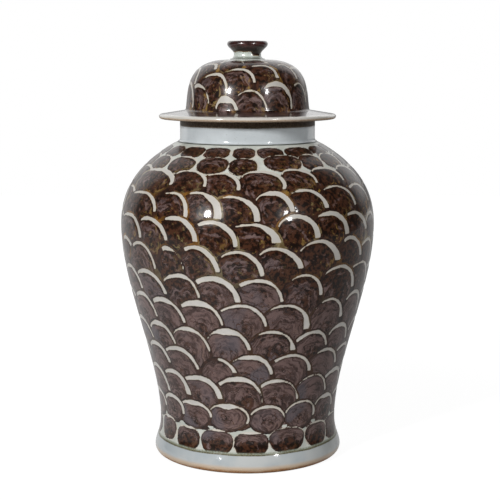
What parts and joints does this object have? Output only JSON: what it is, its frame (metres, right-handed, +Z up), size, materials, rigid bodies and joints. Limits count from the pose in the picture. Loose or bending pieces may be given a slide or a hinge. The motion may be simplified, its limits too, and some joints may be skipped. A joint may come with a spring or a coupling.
{
  "type": "temple jar",
  "caption": "Lidded temple jar with a shouldered body on a turned foot, an upright neck and a domed cover with a flat brim and flared knob that lifts straight off.",
  "frame": {"origin": "middle of the foot ring, on the surface that the jar stands on", "axes": "+Z up along the axis on which every piece was turned, -Y towards the picture's viewer, +X to the viewer's right"},
  "size_m": [0.3578, 0.3578, 0.584],
  "materials": {
    "painted_brown_glaze": "brown fish scales brushed under a clear gloss glaze, with pale celadon between them",
    "celadon_glaze": "pale blue-grey gloss glaze",
    "rust_brown_glaze": "red-brown gloss glaze that thins at the rims",
    "bare_clay": "unglazed stoneware, wiped smooth"
  },
  "bodies": {
    "jar": {"lower_body": "painted_brown_glaze", "upper_body": "painted_brown_glaze", "neck_collar": "celadon_glaze"},
    "cover": {"lid": "painted_brown_glaze", "lid_locating_ring": "bare_clay", "lid_knob": "rust_brown_glaze"}
  },
  "joints": [
    {"name": "lid_lift", "type": "slide", "parent": "jar", "child": "cover", "axis": [0, 0, 1], "range_m": [0, 0.15]}
  ]
}
